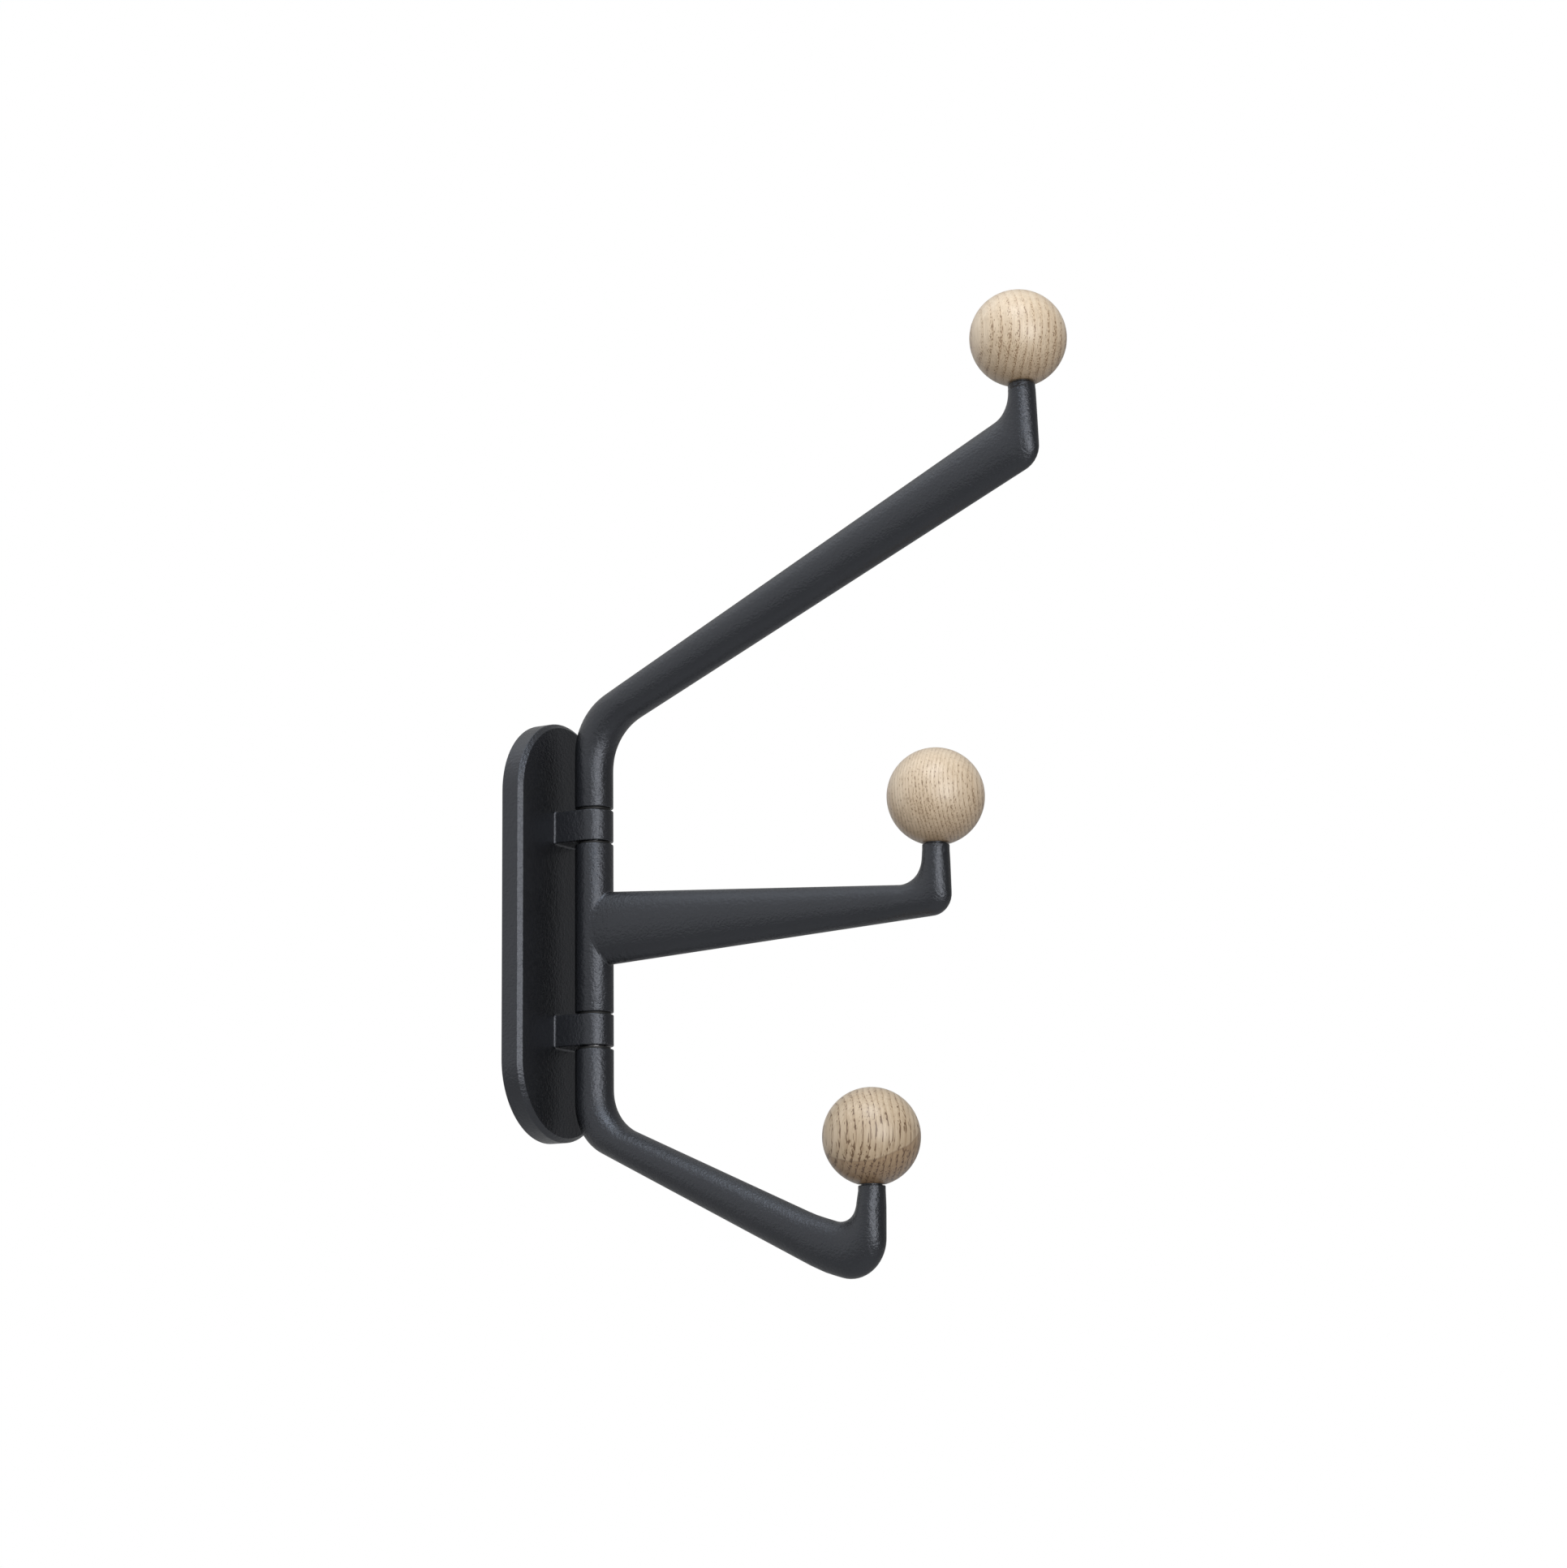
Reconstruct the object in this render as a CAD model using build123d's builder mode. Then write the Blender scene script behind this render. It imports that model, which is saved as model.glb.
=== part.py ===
from build123d import *
import os
from math import cos, radians, sin, sqrt

# A wall hook with three arms that swivel about one upright pivot.
# Millimetres. The origin is the middle of the plate's back face, where it meets the wall.
# The wall is the plane y = 0, the arms reach out towards -Y, +Z is up.

# Wall plate
plate_width = 50.0
plate_height = 136.0
plate_thickness = 7.3
plate_chamfer = 1.4

# Upright pivot, in front of the plate
pivot_distance = 18.5          # from the wall to the pivot's axis
rod_radius = 3.0
rod_reach = 13.0               # how far the rod goes into the upper and the lower arm
rod_end_chamfer = 0.5

# Hinge knuckles, cast on the plate
tube_radius = 6.2              # round roots of the arms, the sleeve and the knuckles' noses
knuckle_height = 10.1
knuckle_spacing = 66.0         # between the middles of the two knuckles
knuckle_foot_fillet = 0.6
rim_fillet = 0.35              # broken edge on every round end

# Open gaps between the knuckles and what turns beside them
upper_gap = 0.85
sleeve_top_gap = 0.85
sleeve_bottom_gap = 0.65
lower_gap = 1.0

# Flanged plastic bushes, pressed into the ends of what turns
bush_radius = 4.0
bush_length = 6.0
bush_flange_radius = 5.2
bush_flange_thickness = 0.6
running_clearance = 0.05       # around the rod, in the bushes and in the arms' bores
seat_clearance = 0.02          # around pieces that sit fast in their holes
end_clearance = 0.5            # beyond a piece at the blind end of its hole

# Balls, and the studs that hold them on the necks
ball_radius = 15.0
neck_radius = 4.2              # at the top of each neck
neck_rim_fillet = 0.4
neck_end = 2.0                 # straight round end of each neck, under its ball
seat_rim = 0.2                 # the flat on a ball is this much larger than the neck
stud_radius = 2.5
stud_in_neck = 12.0
stud_in_ball = 12.0
stud_chamfer = 0.4

# The arms in side view: each point is (outwards, upwards)
# A neck's top, where its ball sits, and the bends are measured from the pivot's axis and
# the arm's rim, the sleeve's middle on the middle arm. The two corners at the tip, where
# the blade turns up into the neck, are measured from the neck's top, and so are the lower
# arm's two slow bends before them. Widths are half-widths of the blade after its root, before
# the tip and at the neck's foot.
upper_neck_top = (158.45, 116.38)
upper_neck_lean = 3.0          # degrees, back towards the wall
upper_top_bend = 31.5
upper_under_bend = 23.7
upper_inner_corner = (-3.75, -8.78)
upper_outer_corner = (5.45, -25.38)
upper_top_radii = (20.4, 9.3)
upper_under_radii = (17.7, 7.7)
upper_widths = (6.0, 4.5, 4.5)

middle_neck_top = (125.55, 15.36)
middle_neck_lean = -1.0
middle_top_root = 11.8
middle_under_root = -12.5
middle_inner_corner = (-4.95, -12.36)
middle_outer_corner = (4.85, -21.96)
middle_top_radius = 7.9
middle_under_radius = 6.3
middle_widths = (5.6, 4.6, 4.4)

lower_neck_top = (101.27, -47.84)
lower_neck_lean = -0.5
lower_top_bend = -22.75
lower_under_bend = -28.5
lower_inner_ease = (-19.8, -8.35)
lower_outer_ease = (-17.6, -25.75)
lower_inner_corner = (-5.65, -12.7)
lower_outer_corner = (4.05, -32.05)
lower_top_radii = (15.8, 48.0, 6.05)
lower_under_radii = (17.6, 51.0, 11.45)
lower_widths = (6.0, 4.9, 4.9)

arc_steps = 10                 # straight pieces that make up each bend of an arm

# Mounting bracket in the plate's back
bracket_width = 24.0
bracket_end_margin = 18.0      # from the plate's ends to the bracket's
bracket_thickness = 3.4
bracket_bevel = 1.6            # slope of the bottom end, which the plate hooks behind
recess_clearance = 0.3
wall_screw_spacing = 70.0
wall_screw_hole_radius = 2.5
wall_screw_head_radius = 4.6

# Grub screws
grub_radius = 2.0              # in the plate's top edge and behind the knuckles
grub_back_wall = 0.6           # metal between the wall and the hole in the top edge
plate_grub_length = 12.0
rod_grub_length = 6.0
arm_grub_radius = 1.5
arm_grub_length = 3.4
arm_grub_offset = 9.0          # from an arm's rim to its grub screw
grub_socket_share = 0.55       # of a grub screw's radius
grub_socket_depth = 1.2
grub_point_share = 0.3
groove_depth = 0.8
groove_clearance = 0.15        # each side of a grub screw in the rod's groove
grub_point_gap = 0.15          # between a turning grub screw and the bottom of its groove

# Places that follow from the sizes above
knuckle_middle = knuckle_spacing / 2
knuckle_outer = knuckle_middle + knuckle_height / 2
knuckle_inner = knuckle_middle - knuckle_height / 2
knuckle_root = plate_thickness - plate_chamfer
upper_rim = knuckle_outer + upper_gap
lower_rim = -(knuckle_outer + lower_gap)
sleeve_top = knuckle_inner - sleeve_top_gap
sleeve_bottom = -(knuckle_inner - sleeve_bottom_gap)
rod_top = upper_rim + rod_reach
rod_bottom = lower_rim - rod_reach
groove_radius = rod_radius - groove_depth
groove_width = 2 * (arm_grub_radius + groove_clearance)
upper_groove = upper_rim + arm_grub_offset
lower_groove = lower_rim - arm_grub_offset
seat_radius = neck_radius + seat_rim
seat_depth = sqrt(ball_radius**2 - seat_radius**2)
bracket_height = plate_height - 2 * bracket_end_margin
bracket_space = bracket_thickness + recess_clearance
plate_grub_distance = grub_radius + grub_back_wall
near_zero = 0.01

os.makedirs("parts", exist_ok=True)


def side_view(height):
    """The arms' side view: x runs outwards from the pivot's axis, y runs up from this height."""
    return Plane(origin=(0, -pivot_distance, height), x_dir=(0, -1, 0), z_dir=(-1, 0, 0))


def pivot_plane(height):
    """A level plane at this height, with its origin on the pivot's axis."""
    return Plane(origin=(0, -pivot_distance, height), x_dir=(1, 0, 0), z_dir=(0, 0, 1))


def wall_side_plane(height):
    """An upright plane through the pivot's axis, with z towards the wall."""
    return Plane(origin=(0, -pivot_distance, height), x_dir=(1, 0, 0), z_dir=(0, 1, 0))


def seat_plane(view, neck_top, lean):
    """The plane of a neck's top, where its ball sits, with z up along the neck."""
    back = radians(lean)
    middle = view.from_local_coords(Vector(*neck_top))
    return Plane(origin=middle, x_dir=(1, 0, 0), z_dir=(0, sin(back), cos(back)))


def shifted(point, step):
    """A side view point moved by a step."""
    return point[0] + step[0], point[1] + step[1]


def neck_ends(neck_top, lean):
    """Both edges of a neck in the side view, where its round end starts; the wall side first."""
    back = radians(lean)
    middle = shifted(neck_top, (neck_end * sin(back), -neck_end * cos(back)))
    across = neck_radius * cos(back)
    rise = neck_radius * sin(back)
    return shifted(middle, (-across, -rise)), shifted(middle, (across, rise))


def outline(view, corners, radii):
    """One edge of an arm in the side view: straight runs joined by arcs, in order."""
    with BuildLine(view) as edge:
        FilletPolyline(*corners, radius=radii)
    return Wire(edge.edges()).order_edges()


def opposite(outer, square):
    """The point where a plane that stands square to one outline meets the other outline."""
    points = []
    for edge in outer:
        for vertex in edge.intersect(square) or []:
            points.append(Vector(*vertex))
    return min(points, key=lambda point: (point - square.origin).length)


def spans(inner, outer, widths):
    """Sections of an arm between its ends, each as (inner point, outer point, half-width).

    They follow the inner outline and stand square to it, at the start of each straight run
    and at even steps along each arc. The half-width changes evenly along each run and arc.
    """
    stations = []
    for edge, start, end in zip(inner, widths, widths[1:]):
        count = 1 if edge.geom_type == GeomType.LINE else arc_steps
        for step in range(count):
            share = step / count
            stations.append((edge, share, start + (end - start) * share))
    found = []
    for edge, share, width in stations[1:]:
        square = Plane(origin=edge @ share, z_dir=edge % share)
        found.append((square.origin, opposite(outer, square), width))
    return found


def swapped(sections):
    """The same sections with the inner and the outer point changed over."""
    return [(outer, inner, width) for inner, outer, width in sections]


def add_blade(sections):
    """Join an arm from straight pieces between the ellipses that stand on its sections."""
    ellipses = []
    for inner, outer, width in sections:
        across = inner - outer
        plane = Plane(origin=(inner + outer) / 2, x_dir=across, z_dir=Vector(1, 0, 0).cross(across))
        with BuildSketch(plane) as ellipse:
            with BuildLine():
                for start in (0, 180):
                    EllipticalCenterArc((0, 0), across.length / 2, width, start_angle=start, arc_size=180)
            make_face()
        ellipses.append(ellipse.sketch)
    add([loft(ends, ruled=True, mode=Mode.PRIVATE) for ends in zip(ellipses, ellipses[1:])])


def cut_hole(plane, radius, depth):
    """Cut a round hole from a plane, as deep as given along the plane's z."""
    with BuildSketch(plane) as hole:
        Circle(radius)
    extrude(hole.sketch, amount=depth, mode=Mode.SUBTRACT)


def cut_bore(start, end):
    """Cut the running bore for the rod between two heights."""
    cut_hole(pivot_plane(start), rod_radius + running_clearance, end - start)


def cut_bush_seat(rim, direction):
    """Cut the seat of a bush into a round end; direction is 1 where the bush goes in upwards."""
    cut_hole(pivot_plane(rim), bush_radius + seat_clearance, direction * bush_length)


def cut_arm_grub_hole(height):
    """Drill the hole of an arm's grub screw from the side that faces the wall."""
    cut_hole(wall_side_plane(height), arm_grub_radius + seat_clearance, 2 * tube_radius)


def add_neck_end(part, top):
    """The round end of a neck under its ball, with a broken edge and the hole for the stud."""
    with BuildSketch(top) as seat:
        Circle(neck_radius)
    extrude(seat.sketch, amount=-neck_end)
    rims = part.edges().filter_by(GeomType.CIRCLE)
    fillet(rims.sort_by(lambda edge: (edge.arc_center - top.origin).length)[0], neck_rim_fillet)
    cut_hole(top, stud_radius + seat_clearance, -(stud_in_neck + end_clearance))


def round_rims(part, height):
    """Break the outer edge of a tube's round end at this height."""
    level = part.edges().filter_by_position(Axis.Z, height - near_zero, height + near_zero)
    reach = tube_radius - near_zero
    rims = level.filter_by(lambda edge: (edge @ 0 - Vector(0, -pivot_distance, height)).length > reach)
    fillet(rims, rim_fillet)


def save(part, name):
    """Label a piece and write it under its own name."""
    part.label = name
    export_step(part, f"parts/{name}.step")


def bracket_section(clearance):
    """Side view of the bracket, or of the room for it, with y up and the wall at x = 0."""
    half = bracket_height / 2 + clearance
    front = bracket_thickness + clearance
    Polygon((0, half), (-front, half), (-front, -half), (0, -half + bracket_bevel), align=None)


# Wall plate with both knuckles
# Its outline is a stadium, and a recess in its back takes the mounting bracket
with BuildPart() as wall_plate:
    with BuildSketch(Plane.XZ):
        SlotOverall(plate_height, plate_width, rotation=90)
    extrude(amount=plate_thickness)
    chamfer(wall_plate.faces().sort_by(Axis.Y)[0].edges(), plate_chamfer)

    # Knuckles: flat sides and a round nose about the pivot
    for middle in (-knuckle_middle, knuckle_middle):
        with BuildSketch(Plane.XY.offset(middle - knuckle_height / 2)):
            with Locations((0, -(knuckle_root + pivot_distance) / 2)):
                Rectangle(2 * tube_radius, pivot_distance - knuckle_root)
            with Locations((0, -pivot_distance)):
                Circle(tube_radius)
        extrude(amount=knuckle_height)
    face_edges = wall_plate.edges().filter_by_position(
        Axis.Y, -plate_thickness - near_zero, -plate_thickness + near_zero
    )
    feet = face_edges.filter_by(lambda edge: abs(edge.center().X) < tube_radius + near_zero)
    fillet(feet, knuckle_foot_fillet)
    noses = wall_plate.edges().filter_by(GeomType.CIRCLE)
    fillet(noses.filter_by(lambda edge: abs(edge.radius - tube_radius) < near_zero), rim_fillet)

    # Bores for the rod, one through each knuckle
    with BuildSketch(pivot_plane(-knuckle_outer)):
        Circle(rod_radius + seat_clearance)
    extrude(amount=2 * knuckle_outer, mode=Mode.SUBTRACT)

    # Recess for the bracket
    with BuildSketch(Plane.YZ):
        bracket_section(recess_clearance)
    extrude(amount=bracket_width / 2 + recess_clearance, both=True, mode=Mode.SUBTRACT)

    # Holes for the grub screws, behind the knuckles and in the top edge
    with BuildSketch(Plane.XZ.offset(bracket_space)):
        with Locations((0, -knuckle_middle), (0, knuckle_middle)):
            Circle(grub_radius + seat_clearance)
    extrude(amount=pivot_distance - bracket_space, mode=Mode.SUBTRACT)
    with BuildSketch(Plane.XY.offset(bracket_height / 2)):
        with Locations((0, -plate_grub_distance)):
            Circle(grub_radius + seat_clearance)
    extrude(amount=plate_height, mode=Mode.SUBTRACT)
save(wall_plate.part, "wall_plate")

# Mounting bracket, with two countersunk holes for wall screws
with BuildPart() as mounting_bracket:
    with BuildSketch(Plane.YZ):
        bracket_section(0)
    extrude(amount=bracket_width / 2, both=True)
    with Locations(Plane.XZ.offset(bracket_thickness)):
        with GridLocations(0, wall_screw_spacing, 1, 2):
            CounterSinkHole(wall_screw_hole_radius, wall_screw_head_radius)
save(mounting_bracket.part, "mounting_bracket")

# Pivot rod, with a groove near each end for the grub screws of the upper and the lower arm
with BuildPart() as pivot_rod:
    with BuildSketch(pivot_plane(rod_bottom)):
        Circle(rod_radius)
    extrude(amount=rod_top - rod_bottom)
    chamfer(pivot_rod.edges().filter_by(GeomType.CIRCLE), rod_end_chamfer)
    for groove in (upper_groove, lower_groove):
        with BuildSketch(pivot_plane(groove - groove_width / 2)):
            Circle(rod_radius + running_clearance)
            Circle(groove_radius, mode=Mode.SUBTRACT)
        extrude(amount=groove_width, mode=Mode.SUBTRACT)
save(pivot_rod.part, "pivot_rod")


# Grub screws
def grub_screw(plane, radius, length):
    """A socket grub screw: its socket is in the given plane and its point lies behind it."""
    with BuildPart() as screw:
        with BuildSketch(plane):
            Circle(radius)
        extrude(amount=-length)
        point = screw.faces().sort_by(Axis(plane.origin, plane.z_dir))[0]
        chamfer(point.edges(), radius * grub_point_share)
        with BuildSketch(plane):
            RegularPolygon(radius * grub_socket_share, 6)
        extrude(amount=-grub_socket_depth, mode=Mode.SUBTRACT)
    return screw.part


plate_grub_top = Plane(origin=(0, -plate_grub_distance, bracket_height / 2 + plate_grub_length))
save(grub_screw(plate_grub_top, grub_radius, plate_grub_length), "plate_grub_screw")

rod_grubs = []
for middle in (-knuckle_middle, knuckle_middle):
    socket = wall_side_plane(middle).offset(rod_radius + rod_grub_length)
    rod_grubs.append(grub_screw(socket, grub_radius, rod_grub_length))
save(Compound(children=rod_grubs), "rod_grub_screws")

for name, groove in (("upper_arm_grub_screw", upper_groove), ("lower_arm_grub_screw", lower_groove)):
    socket = wall_side_plane(groove).offset(groove_radius + grub_point_gap + arm_grub_length)
    save(grub_screw(socket, arm_grub_radius, arm_grub_length), name)


# Flanged bushes
def bush(rim, direction):
    """A flanged bush in a round end; direction is 1 where the bush goes in upwards."""
    with BuildPart() as piece:
        with BuildSketch(pivot_plane(rim)):
            Circle(bush_radius)
        extrude(amount=direction * bush_length)
        with BuildSketch(pivot_plane(rim)):
            Circle(bush_flange_radius)
        extrude(amount=-direction * bush_flange_thickness)
        with BuildSketch(pivot_plane(rim - direction * bush_flange_thickness)):
            Circle(rod_radius + running_clearance)
        extrude(amount=direction * (bush_length + bush_flange_thickness), mode=Mode.SUBTRACT)
    return piece.part


save(bush(upper_rim, 1), "upper_arm_bush")
save(bush(sleeve_top, -1), "sleeve_top_bush")
save(bush(sleeve_bottom, 1), "sleeve_bottom_bush")
save(bush(lower_rim, -1), "lower_arm_bush")

# The arms
# A bent arm's outlines have five stretches each: tube, bend, blade, corner, neck. The lower
# arm's have two more before the corner: a slow bend and a short straight.
# The sections follow whichever outline lies inside the turn

# Upper arm: the bend turns about the under side, the corner at the tip about the top
upper_view = side_view(upper_rim)
upper_seat = seat_plane(upper_view, upper_neck_top, upper_neck_lean)
near, far = neck_ends(upper_neck_top, upper_neck_lean)
inner_tip = shifted(upper_neck_top, upper_inner_corner)
outer_tip = shifted(upper_neck_top, upper_outer_corner)
top = outline(
    upper_view, [(-tube_radius, 0), (-tube_radius, upper_top_bend), inner_tip, near], upper_top_radii
)
under = outline(
    upper_view, [(tube_radius, 0), (tube_radius, upper_under_bend), outer_tip, far], upper_under_radii
)
after_root, before_tip, neck_foot = upper_widths
rim = (top[0] @ 0, under[0] @ 0, tube_radius)
bend = spans(under[:3], top, (tube_radius, tube_radius, after_root, after_root))
reach = spans(top[2:], under, (after_root, before_tip, neck_foot, neck_radius))
neck = (top[-1] @ 1, under[-1] @ 1, neck_radius)

with BuildPart() as upper_arm:
    add_blade([rim, *swapped(bend), *reach, neck])
    round_rims(upper_arm, upper_rim)
    cut_bore(upper_rim, rod_top + end_clearance)
    cut_bush_seat(upper_rim, 1)
    cut_arm_grub_hole(upper_groove)
    add_neck_end(upper_arm, upper_seat)
save(upper_arm.part, "upper_arm")


# Middle arm: a sleeve between the knuckles with a tapered blade that grows out of it
def sleeve():
    """The sleeve's solid body, with a broken edge at both ends."""
    with BuildPart() as piece:
        with BuildSketch(pivot_plane(sleeve_bottom)):
            Circle(tube_radius)
        extrude(amount=sleeve_top - sleeve_bottom)
        fillet(piece.edges().filter_by(GeomType.CIRCLE), rim_fillet)
    return piece.part


middle_view = side_view(0)
middle_seat = seat_plane(middle_view, middle_neck_top, middle_neck_lean)
near, far = neck_ends(middle_neck_top, middle_neck_lean)
inner_tip = shifted(middle_neck_top, middle_inner_corner)
outer_tip = shifted(middle_neck_top, middle_outer_corner)
top = outline(middle_view, [(0, middle_top_root), inner_tip, near], (middle_top_radius,))
under = outline(middle_view, [(0, middle_under_root), outer_tip, far], (middle_under_radius,))
after_root, before_tip, neck_foot = middle_widths
root = (top[0] @ 0, under[0] @ 0, after_root)
reach = spans(top, under, (after_root, before_tip, neck_foot, neck_radius))
neck = (top[-1] @ 1, under[-1] @ 1, neck_radius)

with BuildPart() as middle_arm:
    add_blade([root, *reach, neck])
    add_neck_end(middle_arm, middle_seat)
    add(sleeve())
    cut_bore(sleeve_bottom, sleeve_top)
    cut_bush_seat(sleeve_top, -1)
    cut_bush_seat(sleeve_bottom, 1)
save(middle_arm.part, "middle_arm")

# Lower arm: its three bends all turn about the top side
lower_view = side_view(lower_rim)
lower_seat = seat_plane(lower_view, lower_neck_top, lower_neck_lean)
near, far = neck_ends(lower_neck_top, lower_neck_lean)
inner_ease = shifted(lower_neck_top, lower_inner_ease)
outer_ease = shifted(lower_neck_top, lower_outer_ease)
inner_tip = shifted(lower_neck_top, lower_inner_corner)
outer_tip = shifted(lower_neck_top, lower_outer_corner)
top = outline(
    lower_view,
    [(tube_radius, 0), (tube_radius, lower_top_bend), inner_ease, inner_tip, near],
    lower_top_radii,
)
under = outline(
    lower_view,
    [(-tube_radius, 0), (-tube_radius, lower_under_bend), outer_ease, outer_tip, far],
    lower_under_radii,
)
after_root, before_tip, neck_foot = lower_widths
rim = (top[0] @ 0, under[0] @ 0, tube_radius)
before_neck = (after_root, before_tip, before_tip, before_tip, neck_foot)
reach = spans(top, under, (tube_radius, tube_radius, *before_neck, neck_radius))
neck = (top[-1] @ 1, under[-1] @ 1, neck_radius)

with BuildPart() as lower_arm:
    add_blade([rim, *reach, neck])
    round_rims(lower_arm, lower_rim)
    cut_bore(lower_rim, rod_bottom - end_clearance)
    cut_bush_seat(lower_rim, -1)
    cut_arm_grub_hole(lower_groove)
    add_neck_end(lower_arm, lower_seat)
save(lower_arm.part, "lower_arm")


# Balls, each with a small flat where it sits on its neck, and their studs
def ball(seat):
    """A ball that sits on a neck's top, with its flat and the hole for the stud."""
    with BuildPart(seat.offset(seat_depth)) as piece:
        Sphere(ball_radius)
        with BuildSketch(seat):
            Circle(ball_radius)
        extrude(amount=-ball_radius, mode=Mode.SUBTRACT)
        with BuildSketch(seat):
            Circle(stud_radius + seat_clearance)
        extrude(amount=stud_in_ball + end_clearance, mode=Mode.SUBTRACT)
    return piece.part


def stud(seat):
    """The threaded stud that joins a neck and its ball."""
    with BuildPart() as piece:
        with BuildSketch(seat.offset(-stud_in_neck)):
            Circle(stud_radius)
        extrude(amount=stud_in_neck + stud_in_ball)
        chamfer(piece.edges().filter_by(GeomType.CIRCLE), stud_chamfer)
    return piece.part


for name, seat in (("upper", upper_seat), ("middle", middle_seat), ("lower", lower_seat)):
    save(ball(seat), f"{name}_ball")
    save(stud(seat), f"{name}_stud")
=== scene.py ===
import bmesh
import bpy
from math import cos, pi, radians, sin, sqrt
from mathutils import Matrix, Vector


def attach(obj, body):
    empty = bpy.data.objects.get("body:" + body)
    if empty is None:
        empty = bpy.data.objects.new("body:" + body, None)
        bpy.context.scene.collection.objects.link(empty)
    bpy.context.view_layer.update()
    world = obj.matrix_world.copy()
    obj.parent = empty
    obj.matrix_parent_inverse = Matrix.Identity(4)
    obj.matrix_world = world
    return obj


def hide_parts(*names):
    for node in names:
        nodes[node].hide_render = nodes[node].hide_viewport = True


# A wall hook with three swivelling arms and three wooden balls.
# Metres, in the model's frame: the wall is y = 0, the arms reach out towards -Y, +Z is up.
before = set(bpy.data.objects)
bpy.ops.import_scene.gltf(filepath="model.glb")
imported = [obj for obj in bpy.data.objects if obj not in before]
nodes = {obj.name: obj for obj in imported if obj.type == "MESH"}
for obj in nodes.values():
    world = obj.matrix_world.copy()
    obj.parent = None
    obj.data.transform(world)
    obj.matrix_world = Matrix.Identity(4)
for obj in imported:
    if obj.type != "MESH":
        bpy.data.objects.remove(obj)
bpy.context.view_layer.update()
mm = 0.001

# Sizes in mm, as in the model
plate_width = 50.0
plate_height = 136.0
plate_thickness = 7.3
plate_chamfer = 1.4
recess_half_width = 12.3
recess_half_height = 50.3
recess_depth = 3.7
recess_slope = 1.6
grub_hole_radius = 2.02
top_grub_distance = 2.6
pivot_distance = 18.5
knuckle_middle = 33.0
knuckle_height = 10.1
knuckle_bore_radius = 3.02
tube_radius = 6.2
rod_bore_radius = 3.05
rod_bore_depth = 13.5
bush_seat_radius = 4.02
bush_seat_depth = 6.0
upper_rim = 38.9
lower_rim = -39.05
sleeve_top = 27.1
sleeve_bottom = -27.3
rim_fillet = 0.35
neck_radius = 4.2
neck_end = 2.0
stud_hole_radius = 2.52
stud_hole_depth = 12.5
ball_radius = 15.0
seat_radius = 4.4

# Where each neck ends, as (outwards from the pivot's axis, upwards), and its lean to the wall in degrees
neck_tops = {
    "upper": Vector((158.45, 155.28)),
    "middle": Vector((125.55, 15.36)),
    "lower": Vector((101.27, -86.89)),
}
neck_leans = {"upper": 3.0, "middle": -1.0, "lower": -0.5}

# Sizes in mm that follow the photograph's fine lines, where the model has other ones or none
knuckle_foot_fillet = 0.8
crease_fillet = 0.5
neck_rim_fillet = 0.3
neck_groove_radius = 3.2
neck_groove_height = 0.45
plate_edge_ease = 0.16

# How finely the skins are divided
ring_points = 72               # points around each section
end_points = 49                # points around each round end of the plate
hole_points = 40               # points around a hole
arc_step = 3.0                 # degrees between the sections of a bend
rounding_steps = 3             # steps of a small rounding
ease_steps = 4                 # steps of an eased edge
nose_steps = 16                # steps of a quarter of a knuckle's nose
bore_steps = 8                 # steps of a quarter of a knuckle's bore
fillet_steps = 6               # steps of the fillet at a knuckle's foot
ball_steps = 72                # steps from a ball's seat to its top
beside_edge = 0.15             # mm from an edge's rounding to a point that keeps the flat even
sharp_angle = 40.0             # degrees between faces from which their edge is sharp
weld_distance = 1e-6           # metres within which points are joined


# Side view geometry, with points as (outwards from the pivot's axis, upwards) in mm
def runs(corners, radii, widths):
    """Straight runs joined by arcs, as stations of (point, direction, half-width).

    The half-widths are given where each run and each arc starts, and where the last run ends.
    """
    corners = [Vector(corner) for corner in corners]
    stations = [(corners[0], (corners[1] - corners[0]).normalized(), widths[0])]
    bends = zip(corners, corners[1:], corners[2:], radii, widths[1::2], widths[2::2])
    for before, corner, after, radius, width_in, width_out in bends:
        heading = (corner - before).normalized()
        leaving = (after - corner).normalized()
        turn = heading.angle_signed(leaving)
        reach = radius * sin(abs(turn) / 2) / cos(abs(turn) / 2)
        side = Vector((heading.y, -heading.x)) * (1 if turn > 0 else -1)
        centre = corner - heading * reach + side * radius
        count = round(abs(turn) / radians(arc_step))
        for step in range(count + 1):
            share = step / count
            swing = Matrix.Rotation(-turn * share, 2)
            point = centre - swing @ (side * radius)
            stations.append((point, swing @ heading, width_in + (width_out - width_in) * share))
    stations.append((corners[-1], (corners[-1] - corners[-2]).normalized(), widths[-1]))
    return stations


def opposite(outline, point, direction):
    """Where the line through a point, square to a direction, first meets the other outline."""
    hits = []
    for (start, _, _), (end, _, _) in zip(outline, outline[1:]):
        before = (start - point).dot(direction)
        after = (end - point).dot(direction)
        if before * after <= 0 and before != after:
            hits.append(start.lerp(end, before / (before - after)))
    return min(hits, key=lambda hit: (hit - point).length)


def sections(inner, outer):
    """Sections between the ends of two outlines, square to the inner one."""
    return [(point, opposite(outer, point, way), width) for point, way, width in inner[1:-1]]


def swapped(found):
    """The same sections with the first and the second point changed over."""
    return [(second, first, width) for first, second, width in found]


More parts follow.
